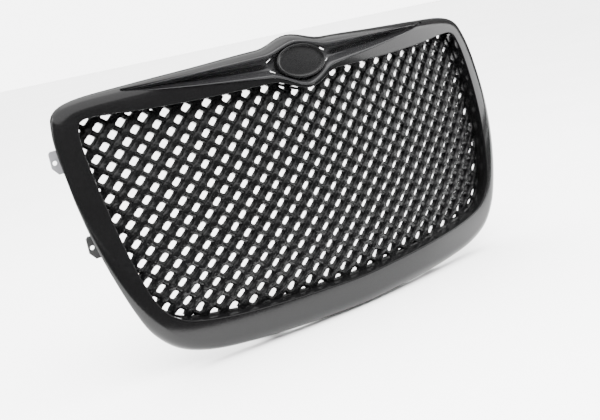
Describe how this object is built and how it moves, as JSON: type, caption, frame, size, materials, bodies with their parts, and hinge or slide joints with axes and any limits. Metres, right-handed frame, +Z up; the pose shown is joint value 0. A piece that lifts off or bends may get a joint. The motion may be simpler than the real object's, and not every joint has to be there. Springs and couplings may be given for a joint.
{
  "type": "car front grille",
  "caption": "Bowed gloss black car front grille: moulded surround, diamond mesh insert, winged emblem recess with a blank oval seat, and hidden fixing brackets.",
  "frame": {"origin": "midpoint between the two inner upper fixing holes, on the top face of their brackets", "axes": "+X to the viewer's right when facing the front, the front faces -Y, +Z up"},
  "size_m": [0.786, 0.1423, 0.433],
  "materials": {
    "surround_gloss": "gloss black painted moulding",
    "mesh_gloss": "gloss black moulded mesh",
    "housing_gloss": "gloss black moulded recess",
    "seat_gloss": "gloss black moulded dish, blank",
    "grey_bracket": "light grey painted pressing",
    "black_bracket": "black painted pressing",
    "screws": "zinc plated steel"
  },
  "bodies": {
    "root": {"surround": "surround_gloss", "mesh_insert": "mesh_gloss", "wing_housing": "housing_gloss", "emblem_seat": "seat_gloss", "mesh_screws_top": "screws", "mesh_screws_bottom": "screws", "mesh_screws_left": "screws", "mesh_screws_right": "screws", "housing_screws": "screws", "seat_screws": "screws", "top_bracket_left_outer": "black_bracket", "top_bracket_left_inner": "black_bracket", "top_bracket_right_inner": "black_bracket", "top_bracket_right_outer": "black_bracket", "side_bracket_left_upper": "grey_bracket", "side_bracket_left_lower": "black_bracket", "side_bracket_right_upper": "grey_bracket", "side_bracket_right_lower": "black_bracket", "side_bracket_screws": "screws", "bottom_bracket_left": "black_bracket", "bottom_bracket_right": "black_bracket", "bottom_bracket_screws": "screws"}
  },
  "joints": []
}
